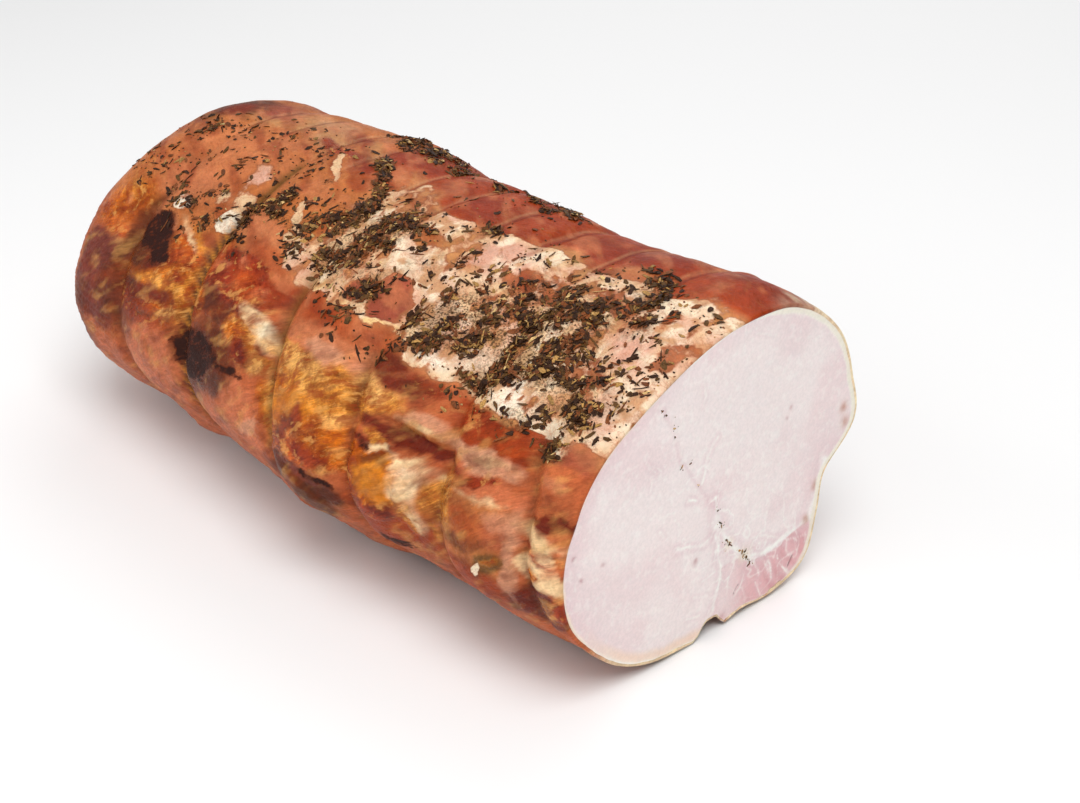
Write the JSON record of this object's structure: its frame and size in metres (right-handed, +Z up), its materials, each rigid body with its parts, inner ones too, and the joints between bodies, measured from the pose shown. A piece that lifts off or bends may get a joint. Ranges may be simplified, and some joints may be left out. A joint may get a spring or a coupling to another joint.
{
  "type": "rolled roast pork loin",
  "caption": "Tied and roasted pork loin with one cut end, a browned crust and a strip of dried herbs.",
  "frame": {"origin": "on the table under the middle of the roast's extents", "axes": "+X along the loin towards the cut face, +Y to the side where the side muscle lies, +Z up"},
  "size_m": [0.259, 0.1266, 0.0951],
  "materials": {
    "browned_meat": "satin",
    "dark_lean": "satin",
    "dried_herbs": "matte"
  },
  "bodies": {
    "root": {"loin": "browned_meat", "side_muscle": "dark_lean", "herb_filling": "dried_herbs"}
  },
  "joints": []
}
